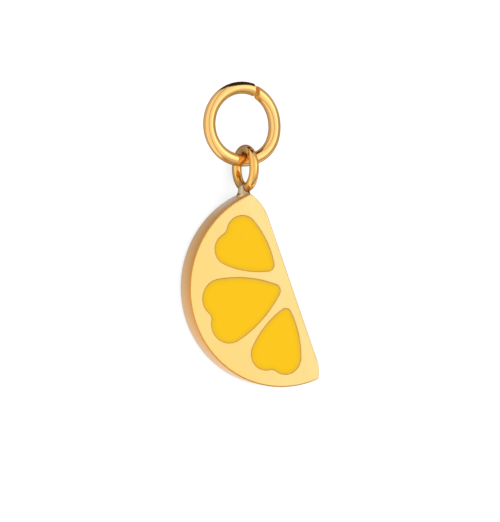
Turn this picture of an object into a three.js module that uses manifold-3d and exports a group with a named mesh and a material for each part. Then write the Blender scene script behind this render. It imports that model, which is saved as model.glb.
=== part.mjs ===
// Lemon-slice charm, in millimetres, lying face up on a flat surface, +Z up.
//
// A half slice of gold-plated metal with three heart-shaped recesses filled with yellow enamel. A small
// closed ring, the bail, is soldered upright on the rim at one end of the slice, and an open jump ring
// runs through it. The bail is taller than the slice is thick, so it props that end up, and the jump ring
// leans on the bail's lower turn and on the surface.
//
// The slice is drawn in its own plane with the centre of the fruit at the origin, the straight cut along Y
// at positive X and the round rind towards negative X. +Y of the finished charm runs towards the jump ring.

import * as THREE from 'three';
import { mergeVertices } from 'three/addons/utils/BufferGeometryUtils.js';
import Module from 'manifold-3d';

// ---------------------------------------------------------------- driving dimensions (mm)

const SLICE_RADIUS = 7.0; // rind radius of the half slice
const CUT_OFFSET = 0.6; // the straight cut lies this far past the fruit's centre
const SLICE_THICKNESS = 1.9;
const EDGE_BREAK = 0.07; // small chamfer round both faces

// each end of the straight cut is eased off by an arc, and meets the rind in a small corner
const BAIL_END = { start: 5.0, radius: 3.2, corner: 0.12 };
const FREE_END = { start: 5.65, radius: 2.6, corner: 0.18 };

// heart cells: a tip near the fruit's centre, two lobes towards the rind, and bowed sides between them
const MIDDLE_CELL = {
  tip: { x: -0.78, y: 0, radius: 0.47 },
  lobes: [{ x: -4.65, y: 0.95, radius: 1.34 }, { x: -4.65, y: -0.95, radius: 1.34 }],
  sides: [8.7, 8.7],
  notch: 0.5,
};
const END_CELL = {
  tip: { x: -0.56, y: 1.88, radius: 0.45 },
  lobes: [{ x: -1.58, y: 4.71, radius: 1.15 }, { x: -2.81, y: 3.92, radius: 1.14 }],
  sides: [6.7, 6.5],
  notch: 0.6,
};
const CELL_DEPTH = 0.55;
const ENAMEL_SUNK = 0.03; // the enamel's surface lies this far below the metal face
const CELL_GAP = 0.04; // clearance between the enamel and its recess

const HANG_TURN = 21.15; // degrees from the straight cut to the line that the charm hangs along

const BAIL_RADIUS = 1.33; // to the wire's centre
const BAIL_WIRE = 0.66;
const BAIL_AT = { x: -2.67, y: 8.22 }; // its centre, from the fruit's centre, on the hanging charm
const BAIL_TWIST = 6.2; // degrees that its axis is turned off square with the slice
const NECK_AT = -2.76; // solder neck between the bail and the rim, a little to the rind's side
const NECK_PROFILE = [[0.5, 6.2], [0.5, 6.38], [0.42, 6.55], [0.4, 6.8], [0.33, 7.05]]; // radius, height
const SOLDER_GAP = 0.04; // clearance between the bail's piece and the slice

const LINK_RADIUS = 2.52; // jump ring, to the wire's centre
const LINK_WIRE = 0.85;
const LINK_CUT_AT = 66.5; // degrees round from +X to the middle of the cut
const LINK_CUT_GAP = 0.27;
const LINK_CUT_SLANT = 20; // degrees that the saw cut leans off the ring's radius
const LINK_CUT_TILT = -5; // and off square with the ring
const LINK_OFFSET = 0.1; // the two ends stand this far out of line, sideways
const LINK_FLARE = 0.04; // and this far out of line, outwards
const LINK_BULGE = { at: -40, out: 0.13, narrow: 6 }; // it is out of round: degrees from +X, and how far
const LINK_PLAY = 0.02; // clearance between the two wires where they touch
const LINK_ASIDE = -0.28; // its middle hangs this far to the rind's side of the bail's
const LINK_LEAN = 3; // degrees that its far side leans back
const LINK_ROLL = 5.2; // degrees that its right side leans back

const PAST_FACE = 1; // cutting shapes run this far past the faces that they cut
const WELD = 1e-5; // points closer than this are one
const LONGEST_STEP = 0.3; // along an outline
const WIDEST_STEP = 9; // degrees, round an outline's corners
const BAIL_STEPS = [48, 14]; // round the ring, round the wire
const LINK_STEPS = [66, 14];
const NECK_SIDES = 24;

// ---------------------------------------------------------------- materials

const GOLD_FACE = new THREE.MeshStandardMaterial({ color: 0xf2cf7c, metalness: 1, roughness: 0.35 });
const GOLD_WIRE = new THREE.MeshStandardMaterial({ color: 0xe3a84f, metalness: 1, roughness: 0.15 });
const ENAMEL = new THREE.MeshStandardMaterial({ color: 0xfac624, metalness: 0, roughness: 0.2 });

// ---------------------------------------------------------------- helpers

const wasm = await Module();
wasm.setup();

const radians = THREE.MathUtils.degToRad;

// the point where two circles cross, on the left of the line from the first centre to the second
function crossing(a, radiusA, b, radiusB) {
  const apart = Math.hypot(b.x - a.x, b.y - a.y);
  const along = (radiusA ** 2 - radiusB ** 2 + apart ** 2) / (2 * apart);
  const aside = Math.sqrt(radiusA ** 2 - along ** 2);
  const ux = (b.x - a.x) / apart;
  const uy = (b.y - a.y) / apart;
  return { x: a.x + ux * along - uy * aside, y: a.y + uy * along + ux * aside };
}

const heading = (from, to) => Math.atan2(to.y - from.y, to.x - from.x);

// points along an arc, counterclockwise unless backwards, without its last point
function arc(centre, radius, from, to, backwards = false) {
  const turn = THREE.MathUtils.euclideanModulo(backwards ? from - to : to - from, 2 * Math.PI);
  const sweep = backwards ? -turn : turn;
  const steps = Math.max(2, Math.ceil(turn / Math.min(LONGEST_STEP / radius, radians(WIDEST_STEP))));
  return Array.from({ length: steps }, (_, i) => {
    const angle = from + (sweep * i) / steps;
    return new THREE.Vector2(centre.x + radius * Math.cos(angle), centre.y + radius * Math.sin(angle));
  });
}

function circlePoints(radius, sides) {
  return Array.from({ length: sides }, (_, i) => {
    const angle = (2 * Math.PI * i) / sides;
    return new THREE.Vector2(radius * Math.cos(angle), radius * Math.sin(angle));
  });
}

function toSolid(geometry) {
  const bare = geometry.clone();
  bare.deleteAttribute('normal');
  bare.deleteAttribute('uv');
  const merged = mergeVertices(bare, WELD);
  return new wasm.Manifold(new wasm.Mesh({
    numProp: 3,
    vertProperties: new Float32Array(merged.attributes.position.array),
    triVerts: new Uint32Array(merged.index.array),
  }));
}

function toGeometry(solid) {
  const mesh = solid.getMesh();
  const geometry = new THREE.BufferGeometry();
  geometry.setAttribute('position', new THREE.BufferAttribute(new Float32Array(mesh.vertProperties), 3));
  geometry.setIndex(new THREE.BufferAttribute(new Uint32Array(mesh.triVerts), 1));
  geometry.computeVertexNormals();
  return geometry;
}

function named(name, geometry, material) {
  const mesh = new THREE.Mesh(geometry, material.clone());
  mesh.name = name;
  return mesh;
}

// ---------------------------------------------------------------- the slice

// half slice outline, counterclockwise from the bail's end of the straight cut, drawn larger by an amount
function sliceOutline(grown) {
  const fruit = { x: 0, y: 0 };
  const bailEase = { x: CUT_OFFSET - BAIL_END.radius, y: BAIL_END.start };
  const freeEase = { x: CUT_OFFSET - FREE_END.radius, y: -FREE_END.start };
  const bailInner = BAIL_END.radius - BAIL_END.corner;
  const freeInner = FREE_END.radius - FREE_END.corner;
  const bailCorner = crossing(bailEase, bailInner, fruit, SLICE_RADIUS - BAIL_END.corner);
  const freeCorner = crossing(fruit, SLICE_RADIUS - FREE_END.corner, freeEase, freeInner);
  return [
    ...arc(bailEase, BAIL_END.radius + grown, 0, heading(bailEase, bailCorner)),
    ...arc(bailCorner, BAIL_END.corner + grown, heading(bailEase, bailCorner), heading(fruit, bailCorner)),
    ...arc(fruit, SLICE_RADIUS + grown, heading(fruit, bailCorner), heading(fruit, freeCorner)),
    ...arc(freeCorner, FREE_END.corner + grown, heading(fruit, freeCorner), heading(freeEase, freeCorner)),
    ...arc(freeEase, FREE_END.radius + grown, heading(freeEase, freeCorner), 0),
    new THREE.Vector2(CUT_OFFSET + grown, -FREE_END.start),
  ];
}

// heart outline, counterclockwise, drawn inset all round by the given amount
function heartOutline(cell, inset) {
  const { tip, lobes: [first, second], sides, notch } = cell;
  const firstSide = crossing(tip, sides[0] - tip.radius, first, sides[0] - first.radius);
  const secondSide = crossing(second, sides[1] - second.radius, tip, sides[1] - tip.radius);
  const dip = crossing(second, second.radius + notch, first, first.radius + notch);
  return [
    ...arc(tip, tip.radius - inset, heading(secondSide, tip), heading(firstSide, tip)),
    ...arc(firstSide, sides[0] - inset, heading(firstSide, tip), heading(firstSide, first)),
    ...arc(first, first.radius - inset, heading(firstSide, first), heading(first, dip)),
    ...arc(dip, notch + inset, heading(dip, first), heading(dip, second), true),
    ...arc(second, second.radius - inset, heading(second, dip), heading(secondSide, second)),
    ...arc(secondSide, sides[1] - inset, heading(secondSide, second), heading(secondSide, tip)),
  ];
}

// the same cell on the other side of the slice's middle line
function mirrored(cell) {
  const flip = (circle) => ({ ...circle, y: -circle.y });
  return {
    ...cell,
    tip: flip(cell.tip),
    lobes: [flip(cell.lobes[1]), flip(cell.lobes[0])],
    sides: [cell.sides[1], cell.sides[0]],
  };
}

const CELLS = { upper: END_CELL, middle: MIDDLE_CELL, lower: mirrored(END_CELL) };

function prism(outline, bottom, top) {
  const straight = { depth: top - bottom, bevelEnabled: false };
  return new THREE.ExtrudeGeometry(new THREE.Shape(outline), straight).translate(0, 0, bottom);
}

function plateSolid() {
  const blank = new THREE.ExtrudeGeometry(new THREE.Shape(sliceOutline(0)), {
    depth: SLICE_THICKNESS - 2 * EDGE_BREAK,
    bevelSize: EDGE_BREAK,
    bevelOffset: -EDGE_BREAK,
    bevelThickness: EDGE_BREAK,
    bevelSegments: 1,
  });
  let solid = toSolid(blank.translate(0, 0, EDGE_BREAK));
  for (const cell of Object.values(CELLS)) {
    const recess = prism(heartOutline(cell, 0), SLICE_THICKNESS - CELL_DEPTH, SLICE_THICKNESS + PAST_FACE);
    solid = solid.subtract(toSolid(recess));
  }
  return solid;
}

// ---------------------------------------------------------------- bail and jump ring

function bailSolid() {
  const ring = new THREE.TorusGeometry(BAIL_RADIUS, BAIL_WIRE / 2, BAIL_STEPS[1], BAIL_STEPS[0]);
  ring.rotateY(radians(90 + BAIL_TWIST));
  ring.translate(BAIL_AT.x, BAIL_AT.y, SLICE_THICKNESS / 2);
  const bottom = NECK_PROFILE[0][1];
  const top = NECK_PROFILE.at(-1)[1];
  const profile = [[0, bottom], ...NECK_PROFILE, [0, top]].map(([x, y]) => new THREE.Vector2(x, y));
  const neck = new THREE.LatheGeometry(profile, NECK_SIDES);
  neck.translate(NECK_AT, 0, SLICE_THICKNESS / 2);
  const room = prism(sliceOutline(SOLDER_GAP), -PAST_FACE, SLICE_THICKNESS + PAST_FACE);
  room.rotateZ(radians(HANG_TURN));
  return toSolid(ring).add(toSolid(neck)).subtract(toSolid(room));
}

// how far the link is out of round at a heading
function linkBulge(angle) {
  return LINK_BULGE.out * Math.max(0, Math.cos(angle - radians(LINK_BULGE.at))) ** LINK_BULGE.narrow;
}

// how far round from the middle of the cut a line along the wire's surface meets one side of the saw's blade
function sawnAt(radius, height, side) {
  const [slant, tilt] = [radians(LINK_CUT_SLANT), radians(LINK_CUT_TILT)];
  const square = new THREE.Vector3(-Math.sin(slant) * Math.cos(tilt), Math.cos(slant) * Math.cos(tilt), -Math.sin(tilt));
  const level = (side * LINK_CUT_GAP) / 2 + square.x * LINK_RADIUS - square.z * height;
  return slant + Math.PI / 2 - Math.acos(level / (radius * Math.cos(tilt)));
}

// round wire bent into a ring that lies flat round the origin, sprung open a little, from one sawn end to the other
function linkSolid() {
  const [steps, sides] = LINK_STEPS;
  const points = [];
  const faces = [];
  const radiusAt = (spring, x) => LINK_RADIUS + LINK_FLARE * spring + x;
  for (let i = 0; i <= steps; i++) {
    for (const { x, y } of circlePoints(LINK_WIRE / 2, sides)) {
      const start = sawnAt(radiusAt(0.5, x), y + LINK_OFFSET / 2, 1);
      const end = sawnAt(radiusAt(-0.5, x), y - LINK_OFFSET / 2, -1) + 2 * Math.PI;
      const turn = start + (end - start) * (i / steps);
      const spring = 0.5 - turn / (2 * Math.PI);
      const angle = radians(LINK_CUT_AT) + turn;
      const radius = radiusAt(spring, x) + linkBulge(angle);
      points.push(radius * Math.cos(angle), radius * Math.sin(angle), y + LINK_OFFSET * spring);
    }
  }
  for (let j = 0; j < sides; j++) {
    const next = (j + 1) % sides;
    for (let i = 0; i < steps; i++) {
      const [a, b] = [i * sides + j, i * sides + next];
      faces.push(a, a + sides, b, b, a + sides, b + sides);
    }
    if (j > 0 && next > 0) faces.push(0, j, next, steps * sides, steps * sides + next, steps * sides + j);
  }
  const wire = new THREE.BufferGeometry();
  wire.setAttribute('position', new THREE.Float32BufferAttribute(points, 3));
  wire.setIndex(faces);
  return toSolid(wire);
}

// ---------------------------------------------------------------- how it lies

// where the charm's weight acts in its own plane, taking it as the area of the half slice
function balancePoint() {
  const half = Math.sqrt(SLICE_RADIUS ** 2 - CUT_OFFSET ** 2);
  const area = SLICE_RADIUS ** 2 * (Math.PI / 2 + Math.asin(CUT_OFFSET / SLICE_RADIUS)) + CUT_OFFSET * half;
  const inward = (2 / 3) * half ** 3 / area;
  return new THREE.Vector2(-inward, 0).rotateAround(new THREE.Vector2(), radians(HANG_TURN));
}

// The charm touches the surface at the bail's lowest point and at the point of the rind that lies straight
// across its weight from there, so it is tilted down towards that point.
function layDown(group) {
  const bail = new THREE.Vector2(BAIL_AT.x, BAIL_AT.y);
  const run = balancePoint().sub(bail).normalize();
  const towards = -bail.dot(run);
  const reach = SLICE_RADIUS - EDGE_BREAK;
  const beyond = Math.sqrt(reach ** 2 - bail.lengthSq() + towards ** 2);
  const contact = bail.clone().addScaledVector(run, towards + beyond);
  const low = contact.clone().normalize();
  const span = reach - bail.dot(low);
  const bailReach = BAIL_RADIUS + BAIL_WIRE / 2;
  const rise = SLICE_THICKNESS / 2;
  const tilt = Math.asin(bailReach / Math.hypot(span, rise)) - Math.atan2(rise, span);
  group.quaternion.setFromAxisAngle(new THREE.Vector3(-low.y, low.x, 0), tilt);
  group.position.z = reach * Math.sin(tilt);
}

// The hanging charm pulls its bail down on the jump ring, so the two wires touch at the bail's far side.
function hang(link) {
  const heading = -Math.acos(-LINK_ASIDE / LINK_RADIUS);
  const held = new THREE.Vector3(LINK_RADIUS + linkBulge(heading), 0, 0).applyEuler(new THREE.Euler(0, 0, heading));
  const reach = BAIL_RADIUS - BAIL_WIRE / 2 - LINK_WIRE / 2 - LINK_PLAY;
  link.rotation.set(radians(-LINK_LEAN), radians(LINK_ROLL), 0, 'ZXY');
  link.position.set(BAIL_AT.x, BAIL_AT.y + reach, SLICE_THICKNESS / 2).sub(held.applyEuler(link.rotation));
}

// ---------------------------------------------------------------- assembly

const slice = new THREE.Group();
slice.rotation.z = radians(HANG_TURN);
slice.add(named('plate', toGeometry(plateSolid()), GOLD_FACE));
for (const [place, cell] of Object.entries(CELLS)) {
  const floor = SLICE_THICKNESS - CELL_DEPTH + CELL_GAP;
  const inlay = prism(heartOutline(cell, CELL_GAP), floor, SLICE_THICKNESS - ENAMEL_SUNK);
  slice.add(named(`enamel_${place}`, inlay, ENAMEL));
}

const link = new THREE.Group();
link.add(named('jump_ring', toGeometry(linkSolid()), GOLD_WIRE));
hang(link);

const hanging = new THREE.Group();
hanging.add(slice, link);
hanging.add(named('bail', toGeometry(bailSolid()), GOLD_WIRE));
layDown(hanging);

// the origin is on the surface, under the middle of the whole charm
const charm = new THREE.Group();
charm.add(hanging);
const middle = new THREE.Box3().setFromObject(charm, true).getCenter(new THREE.Vector3());
charm.position.set(-middle.x, -middle.y, 0);

export default charm;
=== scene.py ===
"""A lemon slice charm: gold-plated metal, yellow enamel cells, a soldered bail and an open jump ring.

Every piece is modelled in millimetres in the slice's own frame, or in a ring's own frame, as on the bench,
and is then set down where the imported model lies, in metres. The slice's frame has the centre of the fruit
at its origin, the straight cut towards +X and the enamelled face towards +Z.
"""

import math

import bmesh
import bpy
import numpy as np
from mathutils import Matrix, Vector


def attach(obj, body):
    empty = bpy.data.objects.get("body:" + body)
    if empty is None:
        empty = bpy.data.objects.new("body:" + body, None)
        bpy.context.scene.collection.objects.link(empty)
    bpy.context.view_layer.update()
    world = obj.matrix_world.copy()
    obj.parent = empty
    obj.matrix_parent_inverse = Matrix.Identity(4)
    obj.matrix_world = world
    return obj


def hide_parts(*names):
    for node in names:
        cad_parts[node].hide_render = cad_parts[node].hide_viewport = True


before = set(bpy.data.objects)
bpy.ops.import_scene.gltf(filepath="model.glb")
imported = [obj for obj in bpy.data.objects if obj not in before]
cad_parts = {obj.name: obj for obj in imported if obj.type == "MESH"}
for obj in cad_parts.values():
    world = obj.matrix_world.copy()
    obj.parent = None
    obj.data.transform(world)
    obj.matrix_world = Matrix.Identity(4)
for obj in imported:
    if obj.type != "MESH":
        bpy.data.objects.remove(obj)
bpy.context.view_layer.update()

MM = 0.001  # metres

# ------------------------------------------------------------------ the slice, in millimetres

SLICE_RADIUS = 7.0  # rind
CUT_OFFSET = 0.6  # the straight cut lies this far past the fruit's centre
SLICE_THICKNESS = 1.9
BAIL_END = {"start": 5.0, "radius": 3.2, "corner": 0.12}  # how the cut's upper end is eased off
FREE_END = {"start": 5.65, "radius": 2.6, "corner": 0.18}
MIDDLE_CELL = {
    "tip": ((-0.78, 0.0), 0.47),
    "lobes": [((-4.65, 0.95), 1.34), ((-4.65, -0.95), 1.34)],
    "sides": [8.7, 8.7],
    "notch": 0.5,
}
UPPER_CELL = {
    "tip": ((-0.56, 1.88), 0.45),
    "lobes": [((-1.58, 4.71), 1.15), ((-2.81, 3.92), 1.14)],
    "sides": [6.7, 6.5],
    "notch": 0.6,
}
CELL_DEPTH = 0.55
EDGE_ROUND = 0.1  # radius left on the slice's edges by tumbling
CELL_ROUND = 0.06  # and on the cells' edges
EDGE_FLAT = 0.02  # strip of flat next to a rounded edge
ROUND_STEPS = 4
# the share of the painted edge shade that the cells' rounded edges get
CELL_EDGE_SHADE = 0.05
HAZE_REACH = 3.2  # the rim is paler and less metallic this far round the solder
WALL_TURNED = 0.3  # below this upward share of its normal, a face is rim, cell wall or underside
ENAMEL_GAP = 0.004  # between the enamel and its cell's wall
ENAMEL_SUNK = 0.03  # the enamel's surface lies this far below the face
# how the enamel rounds over at its border: (distance from the wall, height above the surface)
ENAMEL_BORDER = [
    (0.012, -0.02),
    (0.03, -0.012),
    (0.06, -0.006),
    (0.1, -0.002),
    (0.16, 0),
    (0.26, 0.001),
    (0.4, 0.002),
]

# ------------------------------------------------------------------ the wire parts, in millimetres

HANG_TURN = 21.15  # degrees from the straight cut to the line that the charm hangs along
BAIL_RADIUS = 1.33  # to the wire's centre
BAIL_WIRE = 0.66
BAIL_AT = (-2.67, 8.22)  # from the fruit's centre, across and along the line it hangs along
BAIL_TWIST = 6.2  # degrees
NECK_AT = -2.76
NECK_PROFILE = [(0.5, 6.2), (0.5, 6.38), (0.42, 6.55), (0.4, 6.8), (0.33, 7.05)]  # radius, height
SOLDER_TO = 6.6  # the solder's middle, along the line that the charm hangs along
SOLDER_CORE = 0.3  # nothing but solder shows this far round its middle
SOLDER_SPREAD = 0.75
CROWN_SHADE_REACH = 1.5  # painted shade darkens the bail this far round from its top
BAIL_GRAIN = 0.028  # the size of the cells in which the bail and its solder are melted into one
BAIL_SMOOTHINGS = 6
LINK_RADIUS = 2.52
LINK_WIRE = 0.85
LINK_OFFSET = 0.1  # the jump ring's ends stand this far out of line, sideways
LINK_FLARE = 0.04  # and outwards
# out of round: how far on from the cut, how much it stands out there, how narrowly, and the share of that by
# which the rest is drawn in, as the ring's middle has moved towards the bulge
LINK_BULGE = {"at": math.radians(-106.5), "out": 0.13, "narrow": 6, "drawn_in": 0.29}
LINK_SIDES = 40
LINK_STEPS = 96  # for each half
LINK_PAST = 0.25  # radians that the wire is swung past the cut, before it is sawn off
SAW_BURR = 0.03
END_WORN = 0.05  # tumbling has worn each end back by this much


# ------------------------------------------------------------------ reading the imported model


def flats(node):
    """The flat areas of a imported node, the largest first, each with its outward normal and its corners."""
    found = []
    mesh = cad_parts[node].data
    for face in sorted(mesh.polygons, key=lambda face: -face.area):
        level = face.normal.dot(face.center)
        corners = [mesh.vertices[i].co for i in face.vertices]
        for flat in found:
            if flat["normal"].dot(face.normal) > 0.9999 and abs(flat["level"] - level) < 2e-6:
                flat["turns"] += face.normal * face.area
                flat["area"] += face.area
                flat["corners"] += corners
                break
        else:
            turns = face.normal * face.area
            first = {"normal": face.normal.copy(), "level": level, "area": face.area}
            found.append({**first, "turns": turns, "corners": corners})
    for flat in found:
        flat["normal"] = flat["turns"].normalized()
        flat["level"] = sum(corner.dot(flat["normal"]) for corner in flat["corners"]) / len(flat["corners"])
    return sorted(found, key=lambda flat: -flat["area"])


def placed(x, y, z, origin):
    """The matrix of a frame in millimetres with these axes and this origin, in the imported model's metres."""
    turn = Matrix((x, y, z)).transposed().to_4x4()
    return Matrix.Translation(origin) @ turn @ Matrix.Scale(MM, 4)


def slice_place():
    """The slice's frame, read off its face and its straight cut."""
    walls = flats("plate")
    level_ones = [flat for flat in walls[:6] if flat["normal"].z > 0.99]
    face = max(level_ones, key=lambda flat: flat["level"])
    cut = next(flat for flat in walls if abs(flat["normal"].dot(face["normal"])) < 0.01)
    z = face["normal"]
    x = cut["normal"]
    y = z.cross(x)
    low_end = min(corner.dot(y) for corner in cut["corners"])
    origin = (
        x * (cut["level"] - CUT_OFFSET * MM)
        + y * (low_end + FREE_END["start"] * MM)
        + z * (face["level"] - SLICE_THICKNESS * MM)
    )
    return placed(x, y, z, origin)


def link_place():
    """The jump ring's frame: its centre, Z square with it and X towards its cut."""
    points = np.array([corner.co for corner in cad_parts["jump_ring"].data.vertices], float)
    middle = points.mean(0)
    axes = np.linalg.svd(points - middle, full_matrices=False)[2]
    flat = (points - middle) @ axes[:2].T
    fit = np.linalg.lstsq(np.c_[2 * flat, np.ones(len(flat))], (flat**2).sum(1), rcond=None)[0]
    centre = Vector(middle + fit[:2] @ axes[:2])
    z = Vector(axes[2])
    if z.z < 0:
        z = -z
    ends = [sum(end["corners"], Vector()) / len(end["corners"]) for end in flats("jump_ring")[:2]]
    towards = sum(ends, Vector()) / 2 - centre
    x = (towards - z * towards.dot(z)).normalized()
    return placed(x, z.cross(x), z, centre)


# ------------------------------------------------------------------ outlines, as arcs and straight runs


def crossing(a, radius_a, b, radius_b):
    """The point where two circles cross, on the left of the line from the first centre to the second."""
    a, b = Vector(a), Vector(b)
    apart = (b - a).length
    along = (radius_a**2 - radius_b**2 + apart**2) / (2 * apart)
    ahead = (b - a) / apart
    return a + ahead * along + Vector((-ahead.y, ahead.x)) * math.sqrt(radius_a**2 - along**2)


def heading(start, end):
    """The direction from one point to another, as an angle from +X."""
    return math.atan2(end[1] - start[1], end[0] - start[0])


def arc(centre, radius, start, end, backwards=False):
    """An arc from one heading to another, counterclockwise unless it runs backwards."""
    sweep = (start - end if backwards else end - start) % math.tau
    return {"centre": centre, "radius": radius, "start": start, "sweep": -sweep if backwards else sweep}


def slice_outline(grown):
    """The half slice's outline from the bail's end of the straight cut, drawn larger all round."""
    fruit = (0, 0)
    bail_ease = (CUT_OFFSET - BAIL_END["radius"], BAIL_END["start"])
    free_ease = (CUT_OFFSET - FREE_END["radius"], -FREE_END["start"])
    bail_inner, bail_rind = BAIL_END["radius"] - BAIL_END["corner"], SLICE_RADIUS - BAIL_END["corner"]
    free_inner, free_rind = FREE_END["radius"] - FREE_END["corner"], SLICE_RADIUS - FREE_END["corner"]
    bail_corner = crossing(bail_ease, bail_inner, fruit, bail_rind)
    free_corner = crossing(fruit, free_rind, free_ease, free_inner)
    at_bail = heading(bail_ease, bail_corner)
    at_free = heading(free_ease, free_corner)
    return [
        arc(bail_ease, BAIL_END["radius"] + grown, 0, at_bail),
        arc(bail_corner, BAIL_END["corner"] + grown, at_bail, heading(fruit, bail_corner)),
        arc(fruit, SLICE_RADIUS + grown, heading(fruit, bail_corner), heading(fruit, free_corner)),
        arc(free_corner, FREE_END["corner"] + grown, heading(fruit, free_corner), at_free),
        arc(free_ease, FREE_END["radius"] + grown, at_free, 0),
        {"run": (0, BAIL_END["start"] + FREE_END["start"])},
    ]


def heart_outline(cell, grown):
    """A heart cell's outline from its tip, drawn larger all round."""
    tip, tip_radius = cell["tip"]
    (first, first_radius), (second, second_radius) = cell["lobes"]
    side_one, side_two = cell["sides"]
    notch = cell["notch"]
    one = crossing(tip, side_one - tip_radius, first, side_one - first_radius)
    two = crossing(second, side_two - second_radius, tip, side_two - tip_radius)
    dip = crossing(second, second_radius + notch, first, first_radius + notch)
    return [
        arc(tip, tip_radius + grown, heading(two, tip), heading(one, tip)),
        arc(one, side_one + grown, heading(one, tip), heading(one, first)),
        arc(first, first_radius + grown, heading(one, first), heading(first, dip)),
        arc(dip, notch - grown, heading(dip, first), heading(dip, second), backwards=True),
        arc(second, second_radius + grown, heading(second, dip), heading(two, second)),
        arc(two, side_two + grown, heading(two, second), heading(two, tip)),
    ]


def mirrored(cell):
    """The same cell on the other side of the slice's middle line."""
    def over(circle):
        (x, y), radius = circle
        return (x, -y), radius

    one, two = cell["lobes"]
    return {**cell, "tip": over(cell["tip"]), "lobes": [over(two), over(one)], "sides": cell["sides"][::-1]}


CELLS = {"upper": UPPER_CELL, "middle": MIDDLE_CELL, "lower": mirrored(UPPER_CELL)}


# ------------------------------------------------------------------ modelling


def begin(name):
    """A new empty mesh object, in edit mode with vertices shown."""
    bpy.ops.object.select_all(action="DESELECT")
    bpy.ops.mesh.primitive_plane_add(size=1)
    piece = bpy.context.object
    piece.name = piece.data.name = name
    bpy.ops.object.mode_set(mode="EDIT")
    bpy.ops.mesh.select_mode(type="VERT")
    bpy.ops.mesh.select_all(action="SELECT")
    bpy.ops.mesh.delete(type="VERT")
    return piece


def pick(numbers):
    """Selects these vertices, and nothing else, in edit mode."""
    mesh = bpy.context.object.data
    shape = bmesh.from_edit_mesh(mesh)
    shape.verts.ensure_lookup_table()
    bpy.ops.mesh.select_all(action="DESELECT")
    for number in numbers:
        shape.verts[number].select = True
    shape.select_flush(True)
    bmesh.update_edit_mesh(mesh)


def count():
    """How many vertices the piece has, in edit mode."""
    return len(bmesh.from_edit_mesh(bpy.context.object.data).verts)


def renumber():
    """Numbers the vertices in the order they were drawn, by going out of edit mode and back."""
    bpy.ops.object.mode_set(mode="OBJECT")
    bpy.ops.object.mode_set(mode="EDIT")


ARC_STEP = math.radians(5)
LONGEST_STEP = 0.16


def draw(outline, height, nominal):
    """Draws a closed outline at a height, by swinging one point round each arc. Returns its vertices."""
    first = count()
    start = outline[0]
    x, y = start["centre"]
    reach = start["radius"]
    bpy.ops.mesh.select_all(action="DESELECT")
    at = (x + reach * math.cos(start["start"]), y + reach * math.sin(start["start"]), height)
    bpy.ops.mesh.primitive_plane_add(size=0.1, location=at)
    bpy.ops.mesh.merge(type="CENTER")
    for stroke, plain in zip(outline, nominal):
        if "run" in stroke:
            bpy.ops.mesh.extrude_vertices_move(TRANSFORM_OT_translate={"value": (*stroke["run"], 0)})
            continue
        step = min(ARC_STEP, LONGEST_STEP / plain["radius"])
        steps = max(2, math.ceil(abs(plain["sweep"]) / step))
        centre = (*stroke["centre"], height)
        bpy.ops.mesh.spin(steps=steps, angle=stroke["sweep"], center=centre, axis=(0, 0, -1))
    pick(range(first, count()))
    bpy.ops.mesh.remove_doubles(threshold=1e-4)
    renumber()
    return range(first, count())


def wall(outline, profile):
    """A wall that follows an outline through each (grown, height) of its profile. Returns its loops."""
    loops = [draw(outline(grown), height, outline(0)) for grown, height in profile]
    for below, above in zip(loops, loops[1:]):
        pick([*below, *above])
        bpy.ops.mesh.bridge_edge_loops()
    return loops


def cap(*loops):
    """Fills the flat between loops, the first round the others."""
    pick([number for loop in loops for number in loop])
    bpy.ops.mesh.fill(use_beauty=True)


def rounded(radius):
    """A quarter round from a wall over onto a flat, as (grown, raised) from their corner."""
    turns = [math.pi / 2 * i / ROUND_STEPS for i in range(ROUND_STEPS + 1)]
    return [(-radius * (1 - math.cos(a)), -radius * (1 - math.sin(a))) for a in turns]


# ------------------------------------------------------------------ the pieces


def hanging(across, along):
    """A point at half thickness, given across and along the line that the charm hangs along."""
    down = Matrix.Rotation(math.radians(-HANG_TURN), 3, "Z")
    return down @ Vector((across, along, SLICE_THICKNESS / 2))


def finish_mesh():
    """Closes what was drawn into one clean shell with its faces outwards, and leaves edit mode."""
    bpy.ops.mesh.select_all(action="SELECT")
    bpy.ops.mesh.remove_doubles(threshold=1e-5)
    bpy.ops.mesh.normals_make_consistent(inside=False)
    bpy.ops.object.mode_set(mode="OBJECT")
    bpy.ops.object.shade_smooth_by_angle(angle=math.radians(32))


def apply(piece, kind, **settings):
    """Adds a modifier and applies it."""
    bpy.ops.object.select_all(action="DESELECT")
    piece.select_set(True)
    bpy.context.view_layer.objects.active = piece
    modifier = piece.modifiers.new(kind, kind)
    for name, value in settings.items():
        setattr(modifier, name, value)
    bpy.ops.object.modifier_apply(modifier=modifier.name)


def mark(piece, name, value_at):
    """Gives each point of a piece a number, from its place in the piece's own millimetres."""
    attribute = piece.data.attributes.new(name, "FLOAT", "POINT")
    attribute.data.foreach_set("value", [value_at(point.co) for point in piece.data.vertices])


def settle(piece, place, body, slot, *nodes):
    """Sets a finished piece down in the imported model, and puts it in place of the nodes that it details."""
    bpy.ops.object.select_all(action="DESELECT")
    piece.matrix_world = place
    piece.select_set(True)
    bpy.context.view_layer.objects.active = piece
    bpy.ops.object.transform_apply(location=True, rotation=True, scale=True)
    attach(piece, body)
    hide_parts(*nodes)
    return piece


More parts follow.
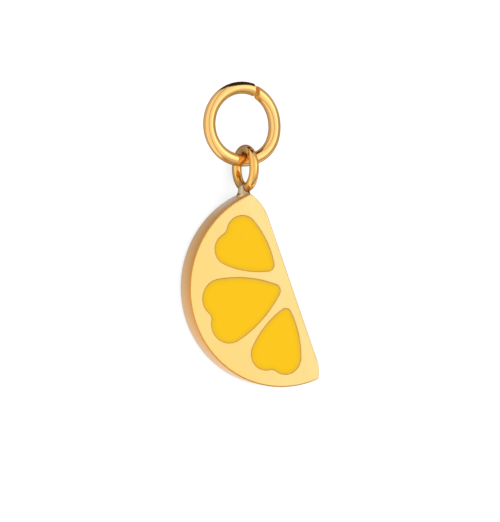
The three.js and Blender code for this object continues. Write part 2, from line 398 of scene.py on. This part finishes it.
def slice_plate():
    """The half slice: walls and rounded edges drawn loop by loop, flats filled between them."""
    piece = begin("slice_plate")
    top = [(grown, SLICE_THICKNESS + drop) for grown, drop in rounded(EDGE_ROUND)]
    bottom = [(grown, -drop) for grown, drop in reversed(rounded(EDGE_ROUND))]
    inside = -EDGE_ROUND - EDGE_FLAT
    rim = wall(slice_outline, [(inside, 0), *bottom, *top, (inside, SLICE_THICKNESS)])
    mouths = []
    for cell in CELLS.values():
        edge = [(-grown, SLICE_THICKNESS + drop) for grown, drop in reversed(rounded(CELL_ROUND))]
        floor = (0, SLICE_THICKNESS - CELL_DEPTH)
        lip = (CELL_ROUND + EDGE_FLAT, SLICE_THICKNESS)
        loops = wall(lambda grown, cell=cell: heart_outline(cell, grown), [lip, *edge, floor])
        mouths.append(loops[0])
        cap(loops[-1])
    cap(rim[0])
    cap(rim[-1], *mouths)
    finish_mesh()

    def edge(point):
        """1 on the rounded edges, and less inside the cells: where painted shade darkens the edges."""
        depth = SLICE_THICKNESS - point.z
        at_rim = point.x > CUT_OFFSET - EDGE_ROUND or point.xy.length > SLICE_RADIUS - EDGE_ROUND
        if at_rim:
            return float(1e-4 < depth < EDGE_ROUND * 1.01)
        return CELL_EDGE_SHADE * float(1e-4 < depth < CELL_DEPTH * 1.01)

    solder_at = hanging(NECK_AT, SOLDER_TO)
    mark(piece, "edge", edge)
    mark(piece, "haze", lambda point: max(0, 1 - (point - solder_at).length / HAZE_REACH))
    return piece


def enamel(where, cell):
    """One cell's enamel: it stands a little below the metal and creeps up the wall at its border."""
    piece = begin(f"enamel_fill_{where}")
    top = SLICE_THICKNESS
    profile = [(-ENAMEL_GAP, top - CELL_DEPTH + ENAMEL_GAP), (-ENAMEL_GAP, top - CELL_ROUND)]
    profile += [(-inset, top - ENAMEL_SUNK + rise) for inset, rise in ENAMEL_BORDER]
    loops = wall(lambda grown: heart_outline(cell, grown), profile)
    cap(loops[0])
    cap(loops[-1])
    finish_mesh()
    # how close each point is to the wall: 1 at the wall, 0 at the innermost loop
    inner = ENAMEL_BORDER[-1][0]
    insets = [0, 0] + [inset for inset, rise in ENAMEL_BORDER]
    values = [1 - inset / inner for loop, inset in zip(loops, insets) for i in loop]
    piece.data.attributes.new("border", "FLOAT", "POINT").data.foreach_set("value", values)
    return piece


def bail(slice_piece):
    """The bail and its solder neck, joined and smoothed into one, with a foot that fits the rim."""
    middle = SLICE_THICKNESS / 2
    bpy.ops.object.select_all(action="DESELECT")
    bpy.ops.mesh.primitive_torus_add(
        location=(*BAIL_AT, middle),
        rotation=(0, math.radians(90 + BAIL_TWIST), 0),
        major_radius=BAIL_RADIUS,
        minor_radius=BAIL_WIRE / 2,
        major_segments=120,
        minor_segments=36,
    )
    ring = bpy.context.object
    ring.name = ring.data.name = "bail_ring"
    radius, foot = NECK_PROFILE[0]
    bpy.ops.mesh.primitive_circle_add(
        vertices=48,
        radius=radius,
        fill_type="NGON",
        location=(NECK_AT, foot, middle),
        rotation=(math.pi / 2, 0, 0),
    )
    neck = bpy.context.object
    bpy.ops.object.mode_set(mode="EDIT")
    bpy.ops.mesh.select_all(action="SELECT")
    for narrower, higher in NECK_PROFILE[1:]:
        rise = {"value": (0, higher - foot, 0)}
        bpy.ops.mesh.extrude_region_move(TRANSFORM_OT_translate=rise)
        bpy.ops.transform.resize(value=(narrower / radius,) * 3, center_override=(NECK_AT, higher, middle))
        radius, foot = narrower, higher
    bpy.ops.mesh.select_all(action="SELECT")
    bpy.ops.mesh.normals_make_consistent(inside=False)
    bpy.ops.object.mode_set(mode="OBJECT")
    for part in (ring, neck):
        part.select_set(True)
        bpy.ops.object.transform_apply(location=True, rotation=True, scale=True)
    apply(ring, "BOOLEAN", operation="UNION", object=neck, solver="EXACT")
    bpy.data.objects.remove(neck)
    apply(ring, "REMESH", mode="VOXEL", voxel_size=BAIL_GRAIN)
    apply(ring, "SMOOTH", factor=0.5, iterations=BAIL_SMOOTHINGS)
    ring.matrix_world = Matrix.Rotation(math.radians(-HANG_TURN), 4, "Z")
    ring.select_set(True)
    bpy.ops.object.transform_apply(location=True, rotation=True, scale=True)
    apply(ring, "BOOLEAN", operation="DIFFERENCE", object=slice_piece, solver="EXACT")
    bpy.ops.object.shade_smooth_by_angle(angle=math.radians(50))

    solder_at = hanging(NECK_AT, SOLDER_TO)
    crown_at = hanging(BAIL_AT[0], BAIL_AT[1] + BAIL_RADIUS)
    mark(ring, "solder", lambda point: 1 - ((point - solder_at).length - SOLDER_CORE) / SOLDER_SPREAD)
    mark(ring, "crown_shade", lambda point: 1 - (point - crown_at).length / CROWN_SHADE_REACH)
    return ring


def jump_ring(place):
    """Round wire swung both ways from opposite the cut, each way past it, sprung out of line and sawn off."""
    bpy.ops.object.select_all(action="DESELECT")
    bpy.ops.mesh.primitive_circle_add(
        vertices=LINK_SIDES, radius=LINK_WIRE / 2, location=(-LINK_RADIUS, 0, 0), rotation=(math.pi / 2, 0, 0)
    )
    piece = bpy.context.object
    piece.name = piece.data.name = "open_jump_ring"
    bpy.ops.object.transform_apply(location=True, rotation=True, scale=True)
    bpy.ops.object.mode_set(mode="EDIT")
    bpy.ops.mesh.select_mode(type="VERT")
    for way in (1, -1):
        pick(range(LINK_SIDES))
        bpy.ops.mesh.spin(steps=LINK_STEPS, angle=math.pi + LINK_PAST, center=(0, 0, 0), axis=(0, 0, -way))
        renumber()
        if way == 1:
            half = count()
    bpy.ops.object.mode_set(mode="OBJECT")
    for point in piece.data.vertices:
        share = (math.atan2(point.co.y, point.co.x) % math.tau) / math.tau
        if share < 0.1 and point.index < half:
            share += 1
        elif share > 0.9 and point.index >= half:
            share -= 1
        spring = 0.5 - share - math.sin(math.tau * share) / math.pi
        past = math.cos(math.tau * share - LINK_BULGE["at"])
        bulge = max(0, past) ** LINK_BULGE["narrow"] - LINK_BULGE["drawn_in"] * past
        outwards = Vector((point.co.x, point.co.y, 0)).normalized()
        point.co.z += spring * LINK_OFFSET
        point.co += (spring * LINK_FLARE + bulge * LINK_BULGE["out"]) * outwards
    bpy.ops.object.mode_set(mode="EDIT")
    to_ring = place.inverted()
    ends = []
    for end in flats("jump_ring")[:2]:
        middle = to_ring @ (sum(end["corners"], Vector()) / len(end["corners"]))
        normal = (to_ring.to_3x3() @ end["normal"]).normalized()
        ends.append((middle, normal))
    # the second half's end first, so that the first half keeps its numbers
    for middle, normal in sorted(ends, key=lambda end: -end[0].y):
        second = middle.y > 0
        shape = bmesh.from_edit_mesh(piece.data)
        points = enumerate(point.co for point in shape.verts)
        near = [i for i, at in points if at.x > 0 and abs(at.y) < 2 * LINK_WIRE]
        pick([i for i in near if (i >= half) == second])
        bpy.ops.mesh.bisect(plane_co=middle - normal * END_WORN, plane_no=normal, clear_outer=True)
    bpy.ops.mesh.select_all(action="SELECT")
    bpy.ops.mesh.fill_holes(sides=0)
    bpy.ops.mesh.select_mode(type="FACE")
    shape = bmesh.from_edit_mesh(piece.data)
    # The sawn ends have far more corners than the wall. Known fault: 16 wall faces that the saw cut to five
    # corners are taken in too, and with them the inset leaves the ends up to 0.04 mm out of flat.
    for face in shape.faces:
        face.select_set(len(face.verts) > 4)
        face.material_index = int(face.select)
    bmesh.update_edit_mesh(piece.data)
    bpy.ops.mesh.inset(thickness=SAW_BURR)
    finish_mesh()
    return piece


# ------------------------------------------------------------------ materials


def linear(code):
    """A shader colour from an sRGB hex code."""
    levels = [int(code[i : i + 2], 16) / 255 for i in (0, 2, 4)]
    return (*(c / 12.92 if c <= 0.04045 else ((c + 0.055) / 1.055) ** 2.4 for c in levels), 1)


def node(tree, kind, inputs=(), **settings):
    """Adds a node. Each input, by name or number, gets a value or the output that feeds it."""
    made = tree.nodes.new(kind)
    for name, value in settings.items():
        setattr(made, name, value)
    for name, value in dict(inputs).items():
        if isinstance(value, bpy.types.NodeSocket):
            tree.links.new(value, made.inputs[name])
        else:
            made.inputs[name].default_value = value
    return made


def material(name, **sockets):
    """A new material: its node tree, and its shader with these sockets set."""
    made = bpy.data.materials.new(name)
    made.use_nodes = True
    shader = made.node_tree.nodes["Principled BSDF"]
    for socket, value in sockets.items():
        shader.inputs[socket.replace("_", " ")].default_value = value
    return made, made.node_tree, shader


def lapped_gold(slice_at):
    """Gold plating over a face lapped on fine paper: satin and pale, with faint marks along the cut."""
    paint, tree, shader = material("lapped_gold_plating", Metallic=1)
    # the marks are 0.01 mm apart, too fine to show, so they are drawn ten times as far apart
    place = node(tree, "ShaderNodeTexCoord").outputs["Object"]
    to_cut = {"Vector": place, "Location": slice_at.inverted().translation * MM}
    to_cut["Rotation"] = (0, 0, -slice_at.to_euler().z)
    along = node(tree, "ShaderNodeMapping", to_cut).outputs[0]
    stretched = node(tree, "ShaderNodeMapping", {"Vector": along, "Scale": (1, 0.05, 1)}).outputs[0]
    marks = node(tree, "ShaderNodeTexNoise", {"Vector": stretched, "Scale": 9000, "Detail": 3}).outputs[0]
    streaks = node(tree, "ShaderNodeMapping", {"Vector": along, "Scale": (1, 0.4, 1)}).outputs[0]
    clouds = node(tree, "ShaderNodeTexNoise", {"Vector": streaks, "Scale": 420, "Detail": 2}).outputs[0]
    # painted light: the plating is paler towards the cut and warmer towards the rind, and patchy at random
    across = node(tree, "ShaderNodeSeparateXYZ", {0: along}).outputs[0]
    painted_light_at_cut = {"Value": across, "From Min": -6 * MM, "From Max": 1 * MM}
    painted_light_at_cut = node(tree, "ShaderNodeMapRange", painted_light_at_cut).outputs[0]
    patchy = node(tree, "ShaderNodeMath", {0: clouds, 1: 1.6, 2: -0.8}, operation="MULTIPLY_ADD").outputs[0]
    paler_by_light_and_patches = node(tree, "ShaderNodeMath", {0: painted_light_at_cut, 1: patchy}, operation="ADD", use_clamp=True).outputs[0]
    colours = {0: paler_by_light_and_patches, 6: linear("EBCB7C"), 7: linear("EAD28E")}
    plated = node(tree, "ShaderNodeMix", colours, data_type="RGBA").outputs[2]
    edge = node(tree, "ShaderNodeAttribute", attribute_name="edge").outputs["Fac"]
    # less of the painted edge shade along the cut
    kept = {"Value": across, "From Min": -0.6 * MM, "From Max": 0.3 * MM, "To Min": 1.0, "To Max": 0.1}
    kept = node(tree, "ShaderNodeMapRange", kept).outputs[0]
    painted_edge_shade = node(tree, "ShaderNodeMath", {0: edge, 1: kept}, operation="MULTIPLY").outputs[0]
    # painted shade: the rounded edges darker and warmer
    colour = {0: painted_edge_shade, 6: plated, 7: linear("CB8F45")}
    colour = node(tree, "ShaderNodeMix", colour, data_type="RGBA").outputs[2]
    tree.links.new(colour, shader.inputs["Base Color"])
    rough = node(tree, "ShaderNodeMapRange", {"Value": marks, "To Min": 0.42, "To Max": 0.5}).outputs[0]
    tree.links.new(rough, shader.inputs["Roughness"])
    relief = node(tree, "ShaderNodeBump", {"Height": marks, "Strength": 0.06, "Distance": 2e-5}).outputs[0]
    tree.links.new(relief, shader.inputs["Normal"])
    return paint


def tumbled_gold():
    """Gold plating over a sawn and tumbled rim: softly dented by the tumbling pins, with painted shade making
    the edges darker and warmer, and paler and less metallic round the solder."""
    paint, tree, shader = material("tumbled_gold_plating", Metallic=1)
    place = node(tree, "ShaderNodeTexCoord").outputs["Object"]
    dents = node(tree, "ShaderNodeTexNoise", {"Vector": place, "Scale": 2600, "Detail": 2}).outputs[0]
    painted_edge_shade = node(tree, "ShaderNodeAttribute", attribute_name="edge").outputs["Fac"]
    haze = node(tree, "ShaderNodeAttribute", attribute_name="haze").outputs["Fac"]
    hazed = node(tree, "ShaderNodeMapRange", {"Value": haze, "From Max": 0.5}).outputs[0]
    plated = {0: hazed, 6: linear("EDBF7C"), 7: linear("EADFC8")}
    plated = node(tree, "ShaderNodeMix", plated, data_type="RGBA").outputs[2]
    # painted shade: the rounded edges darker and warmer
    colour = {0: painted_edge_shade, 6: plated, 7: linear("C98A3C")}
    colour = node(tree, "ShaderNodeMix", colour, data_type="RGBA").outputs[2]
    tree.links.new(colour, shader.inputs["Base Color"])
    metal = node(tree, "ShaderNodeMapRange", {"Value": hazed, "To Min": 1.0, "To Max": 0.5}).outputs[0]
    tree.links.new(metal, shader.inputs["Metallic"])
    rough = node(tree, "ShaderNodeMapRange", {"Value": dents, "To Min": 0.22, "To Max": 0.36}).outputs[0]
    tree.links.new(rough, shader.inputs["Roughness"])
    relief = node(tree, "ShaderNodeBump", {"Height": dents, "Strength": 0.2, "Distance": 2e-5}).outputs[0]
    tree.links.new(relief, shader.inputs["Normal"])
    return paint


def wire_gold():
    """Gold plating over drawn round wire: bright, with a little waviness from tumbling."""
    paint, tree, shader = material("bright_gold_plated_wire", Metallic=1, Specular_Tint=linear("A87848"))
    shader.inputs["Base Color"].default_value = linear("F1C077")
    place = node(tree, "ShaderNodeTexCoord").outputs["Object"]
    dents = node(tree, "ShaderNodeTexNoise", {"Vector": place, "Scale": 1800, "Detail": 2}).outputs[0]
    rough = node(tree, "ShaderNodeMapRange", {"Value": dents, "To Min": 0.09, "To Max": 0.15}).outputs[0]
    tree.links.new(rough, shader.inputs["Roughness"])
    relief = node(tree, "ShaderNodeBump", {"Height": dents, "Strength": 0.15, "Distance": 2e-5}).outputs[0]
    tree.links.new(relief, shader.inputs["Normal"])
    return paint


def soldered_gold():
    """Gold plating over a soldered ring: greyer over the solder, with burnt flux spots, and painted shade
    darkening its crown.
    """
    paint, tree, shader = material("gold_plating_over_solder", Metallic=1, Specular_Tint=linear("C8A080"))
    place = node(tree, "ShaderNodeTexCoord").outputs["Object"]
    dents = node(tree, "ShaderNodeTexNoise", {"Vector": place, "Scale": 2200, "Detail": 3}).outputs[0]
    solder = node(tree, "ShaderNodeAttribute", attribute_name="solder").outputs["Fac"]
    crown_shade = node(tree, "ShaderNodeAttribute", attribute_name="crown_shade").outputs["Fac"]
    # painted shade: the bail's crown darker and browner
    crown_shade_share = node(tree, "ShaderNodeMapRange", {"Value": crown_shade, "From Max": 0.7, "To Max": 0.9}).outputs[0]
    crown_shaded = {0: crown_shade_share, 6: linear("EFBA68"), 7: linear("D0A87C")}
    crown_shaded = node(tree, "ShaderNodeMix", crown_shaded, data_type="RGBA").outputs[2]
    greyer = {"Value": solder, "From Min": 0.3, "From Max": 0.85}
    greyer = node(tree, "ShaderNodeMapRange", greyer, interpolation_type="SMOOTHSTEP").outputs[0]
    # flux burns in spots of a few tenths of a millimetre, only at the edge of the solder
    flux = node(tree, "ShaderNodeMapRange", {"Value": dents, "From Min": 0.59, "From Max": 0.68}).outputs[0]
    near = node(tree, "ShaderNodeMapRange", {"Value": solder, "From Min": 0.0, "From Max": 0.3}).outputs[0]
    spots = node(tree, "ShaderNodeMath", {0: flux, 1: near}, operation="MULTIPLY").outputs[0]
    plated = {0: greyer, 6: crown_shaded, 7: linear("CDB899")}
    plated = node(tree, "ShaderNodeMix", plated, data_type="RGBA").outputs[2]
    burnt = {0: spots, 6: plated, 7: linear("5C3F1E")}
    burnt = node(tree, "ShaderNodeMix", burnt, data_type="RGBA").outputs[2]
    tree.links.new(burnt, shader.inputs["Base Color"])
    rough = node(tree, "ShaderNodeMapRange", {"Value": solder, "To Min": 0.11, "To Max": 0.5}).outputs[0]
    tree.links.new(rough, shader.inputs["Roughness"])
    relief = node(tree, "ShaderNodeBump", {"Height": dents, "Strength": 0.25, "Distance": 2e-5}).outputs[0]
    tree.links.new(relief, shader.inputs["Normal"])
    return paint


def sawn_gold():
    """Gold plating over a saw cut: matt from the blade, and a deep orange as painted shade inside the gap."""
    paint, tree, shader = material("sawn_gold_plating", Metallic=0.5, Roughness=0.6)
    # painted shade: the deep orange of the shadowed cut
    shader.inputs["Base Color"].default_value = linear("F8B448")
    return paint


def resin_enamel():
    """Yellow resin poured into a cell and cured: even, opaque and glossy, with painted shade where it meets
    the metal.
    """
    paint, tree, shader = material("poured_resin_enamel", Roughness=0.25)
    shader.inputs["Specular IOR Level"].default_value = 0.12
    border = node(tree, "ShaderNodeAttribute", attribute_name="border").outputs["Fac"]
    colour = linear("DEAF00")
    # darker towards the border, then darkest in a line of painted shade along the wall
    for low, high, code in ((0.0, 0.7, "D5AB00"), (0.5, 1.0, "D2A030")):
        share = {"Value": border, "From Min": low, "From Max": high}
        share = node(tree, "ShaderNodeMapRange", share).outputs[0]
        colour = {0: share, 6: colour, 7: linear(code)}
        colour = node(tree, "ShaderNodeMix", colour, data_type="RGBA").outputs[2]
    tree.links.new(colour, shader.inputs["Base Color"])
    return paint


# ------------------------------------------------------------------ the stage

CAMERA_TURN = math.radians(21.8)  # round Y, off square with the surface
CAMERA_LENS = 413.8
CAMERA_AWAY = 0.4181
SIGHT = Vector((-math.sin(CAMERA_TURN), 0, math.cos(CAMERA_TURN)))
RIGHT = Vector((math.cos(CAMERA_TURN), 0, math.sin(CAMERA_TURN)))

CAMERA_ASIDE = 2.369  # millimetres that the camera aims to the left of the fruit's centre
CAMERA_UP = 1.812  # and beyond it

# How the light of the tent changes as one turns towards a direction: soft steps, which multiply, each
# (direction, whether the opposite direction is like it, step's start, its end, level before, level after).
TENT = [
    (RIGHT, False, 0.35, 0.95, 1.18, 1.68),  # brightest at the right
    (RIGHT, False, 0.74, 0.9, 1.0, 1.3),  # and once more straight to the right
    (Vector((0.7, -0.7, 0)), False, 0.38, 0.6, 1.0, 0.6),  # but dimmer towards the near right corner
    (RIGHT + 0.03 * SIGHT, True, 0.0, 0.26, 0.54, 1.0),  # dimmer in the band that the camera looks along
    (Vector((-0.6, 0, 1)), False, -0.35, 0.45, 0.3, 1.0),  # it fades out low on the right
]
TENT_FILL = 1.2  # how much more of this light matt surfaces get than reflections show
FLOOR_GLOW = 1.15  # of the floor, as reflections show it
FLOOR_SHADE = 0.5  # of the floor's light that is left where a piece touches it
# how that glow changes along the charm: (from, to, level before, level after), in millimetres along Y
FLOOR_RUN = [(-10, 0, 1.45, 0.82), (0, 3.5, 1.0, 0.8)]
# the corners of the dark cards, in millimetres from under the jump ring's middle
LYING_CARD = [(-1.9, 2.6, 0), (-0.6, 2.2, 0), (1.9, 2.4, 0), (2.3, 3.0, 0), (50, 60, 0), (-12, 60, 0)]
STANDING_CARD = [
    (-1.2, 6.5, 0),
    (4.2, 6.5, 0),
    (4.2, 6.5, 3.4),
    (2.2, 6.5, 5.2),
    (0.8, 6.5, 5.0),
    (-1.2, 6.5, 3.2),
]
CARD_CLEAR = 1e-5  # metres that the cards lie above the floor
LAMP_AT = (0.12, -0.18, 0.3)  # metres


def camera(place):
    """Looks down from the left, with the whole charm a little right of and above the middle."""
    fruit = place @ Vector((0, 0, SLICE_THICKNESS))
    aim = fruit - RIGHT * CAMERA_ASIDE * MM + Vector((0, CAMERA_UP * MM, 0))
    bpy.ops.object.camera_add(location=aim + SIGHT * CAMERA_AWAY)
    made = bpy.context.object
    made.rotation_euler = Matrix((RIGHT, (0, 1, 0), SIGHT)).transposed().to_euler()
    made.data.lens = CAMERA_LENS
    made.data.sensor_width = 36
    made.data.clip_start = 0.01
    made.data.clip_end = 10
    bpy.context.scene.camera = made


def studio():
    """A tent of soft light, brightest at the right, which the camera sees as plain white."""
    world = bpy.data.worlds.new("studio")
    bpy.context.scene.world = world
    world.use_nodes = True
    tree = world.node_tree
    tree.nodes.clear()
    ray = node(tree, "ShaderNodeTexCoord").outputs["Generated"]
    light = 1.0
    for direction, both_ways, start, end, before, after in TENT:
        turned = node(tree, "ShaderNodeVectorMath", {0: ray, 1: direction}, operation="DOT_PRODUCT")
        turned = turned.outputs["Value"]
        if both_ways:
            turned = node(tree, "ShaderNodeMath", {0: turned}, operation="ABSOLUTE").outputs[0]
        ends = {"Value": turned, "From Min": start, "From Max": end, "To Min": before, "To Max": after}
        step = node(tree, "ShaderNodeMapRange", ends, interpolation_type="SMOOTHSTEP").outputs[0]
        light = node(tree, "ShaderNodeMath", {0: light, 1: step}, operation="MULTIPLY").outputs[0]
    path = node(tree, "ShaderNodeLightPath").outputs
    fill = node(tree, "ShaderNodeMath", {0: light, 1: TENT_FILL}, operation="MULTIPLY").outputs[0]
    lit = {0: path["Is Diffuse Ray"], 2: light, 3: fill}
    lit = node(tree, "ShaderNodeMix", lit, data_type="FLOAT").outputs[0]
    seen = {0: path["Is Camera Ray"], 2: lit, 3: 1.0}
    seen = node(tree, "ShaderNodeMix", seen, data_type="FLOAT").outputs[0]
    background = node(tree, "ShaderNodeBackground", {"Color": (1, 0.99, 0.97, 1), "Strength": seen})
    node(tree, "ShaderNodeOutputWorld", {"Surface": background.outputs[0]})


def floor():
    """A white light table: it glows, and is dimmer where a piece stands close to it.

    The camera sees it even and nearly white. Reflections see deeper shading, uneven along the charm.
    """
    bpy.ops.object.select_all(action="DESELECT")
    bpy.ops.mesh.primitive_plane_add(size=1.2)
    made = bpy.context.object
    made.name = "floor"
    paint, tree, shader = material("opal_white_acrylic", Roughness=0.8)
    shader.inputs["Base Color"].default_value = (0, 0, 0, 1)
    shader.inputs["Specular IOR Level"].default_value = 0
    shader.inputs["Emission Color"].default_value = (1, 1, 1, 1)
    clear = node(tree, "ShaderNodeAmbientOcclusion", {"Distance": 4 * MM}, samples=8).outputs["AO"]
    dimmest = FLOOR_GLOW * FLOOR_SHADE
    shade = {"Value": clear, "From Min": 0.35, "From Max": 1.0, "To Min": dimmest, "To Max": FLOOR_GLOW}
    reflected = node(tree, "ShaderNodeMapRange", shade, interpolation_type="SMOOTHSTEP").outputs[0]
    place = node(tree, "ShaderNodeTexCoord").outputs["Object"]
    ahead = node(tree, "ShaderNodeSeparateXYZ", {0: place}).outputs[1]
    for start, end, before, after in FLOOR_RUN:
        run = {"Value": ahead, "From Min": start * MM, "From Max": end * MM}
        run.update({"To Min": before, "To Max": after})
        share = node(tree, "ShaderNodeMapRange", run).outputs[0]
        reflected = node(tree, "ShaderNodeMath", {0: reflected, 1: share}, operation="MULTIPLY").outputs[0]
    shade = {"Value": clear, "From Min": 0.2, "From Max": 0.72, "To Min": 0.76, "To Max": 1.08}
    seen = node(tree, "ShaderNodeMapRange", shade, interpolation_type="SMOOTHSTEP").outputs[0]
    path = node(tree, "ShaderNodeLightPath").outputs
    glow = {0: path["Is Camera Ray"], 2: reflected, 3: seen}
    glow = node(tree, "ShaderNodeMix", glow, data_type="FLOAT").outputs[0]
    tree.links.new(glow, shader.inputs["Emission Strength"])
    made.data.materials.append(paint)


def dark_card(name, corners, link_at):
    """A dark card beyond the jump ring, which only reflections show."""
    bpy.ops.object.select_all(action="DESELECT")
    start, *others = corners
    bpy.ops.mesh.primitive_plane_add(size=0.1, location=start)
    card = bpy.context.object
    card.name = name
    bpy.ops.object.mode_set(mode="EDIT")
    bpy.ops.mesh.select_mode(type="VERT")
    bpy.ops.mesh.select_all(action="SELECT")
    bpy.ops.mesh.merge(type="CENTER")
    for before, after in zip(corners, others):
        step = Vector(after) - Vector(before)
        bpy.ops.mesh.extrude_vertices_move(TRANSFORM_OT_translate={"value": step})
    bpy.ops.mesh.select_all(action="SELECT")
    bpy.ops.mesh.edge_face_add()
    bpy.ops.object.mode_set(mode="OBJECT")
    bpy.ops.object.transform_apply(location=True, rotation=True, scale=True)
    middle = link_at.translation
    card.location = (middle.x, middle.y, CARD_CLEAR)
    card.scale = (MM, MM, MM)
    bpy.ops.object.transform_apply(location=True, rotation=True, scale=True)
    paint, tree, shader = material("matt_black_card", Roughness=0.9)
    shader.inputs["Base Color"].default_value = linear("2E2218")
    card.data.materials.append(paint)
    card.visible_camera = False
    card.visible_diffuse = False
    card.visible_shadow = False


def lamp():
    """A weak round lamp from the near right, for matt surfaces only."""
    bpy.ops.object.light_add(type="AREA", location=LAMP_AT)
    disk = bpy.context.object
    disk.data.shape = "DISK"
    disk.data.size = 0.16
    disk.data.energy = 0.15
    disk.rotation_euler = Vector(disk.location).to_track_quat("Z", "Y").to_euler()
    disk.visible_camera = False
    disk.visible_glossy = False


# ------------------------------------------------------------------ putting it together

bpy.context.scene.view_settings.view_transform = "Standard"
bpy.context.view_layer.update()

slice_at = slice_place()
link_at = link_place()
camera(slice_at)
studio()
floor()
lamp()
dark_card("lying_card", LYING_CARD, link_at)
dark_card("standing_card", STANDING_CARD, link_at)

face_gold = lapped_gold(slice_at)
rim_gold = tumbled_gold()
bail_gold = soldered_gold()
ring_gold = wire_gold()
saw_gold = sawn_gold()
yellow = resin_enamel()

plate = slice_plate()
ring = bail(plate)
plate.data.materials.append(face_gold)
plate.data.materials.append(rim_gold)
for face in plate.data.polygons:
    face.material_index = int(face.normal.z < WALL_TURNED)
ring.data.materials.append(bail_gold)
for where, cell in CELLS.items():
    fill = enamel(where, cell)
    fill.data.materials.append(yellow)
    settle(fill, slice_at, "charm", "enamel", f"enamel_{where}")
link = jump_ring(link_at)
link.data.materials.append(ring_gold)
link.data.materials.append(saw_gold)
settle(plate, slice_at, "charm", "gold_face", "plate")
settle(ring, slice_at, "charm", "gold_wire", "bail")
settle(link, link_at, "ring", "gold_wire", "jump_ring")
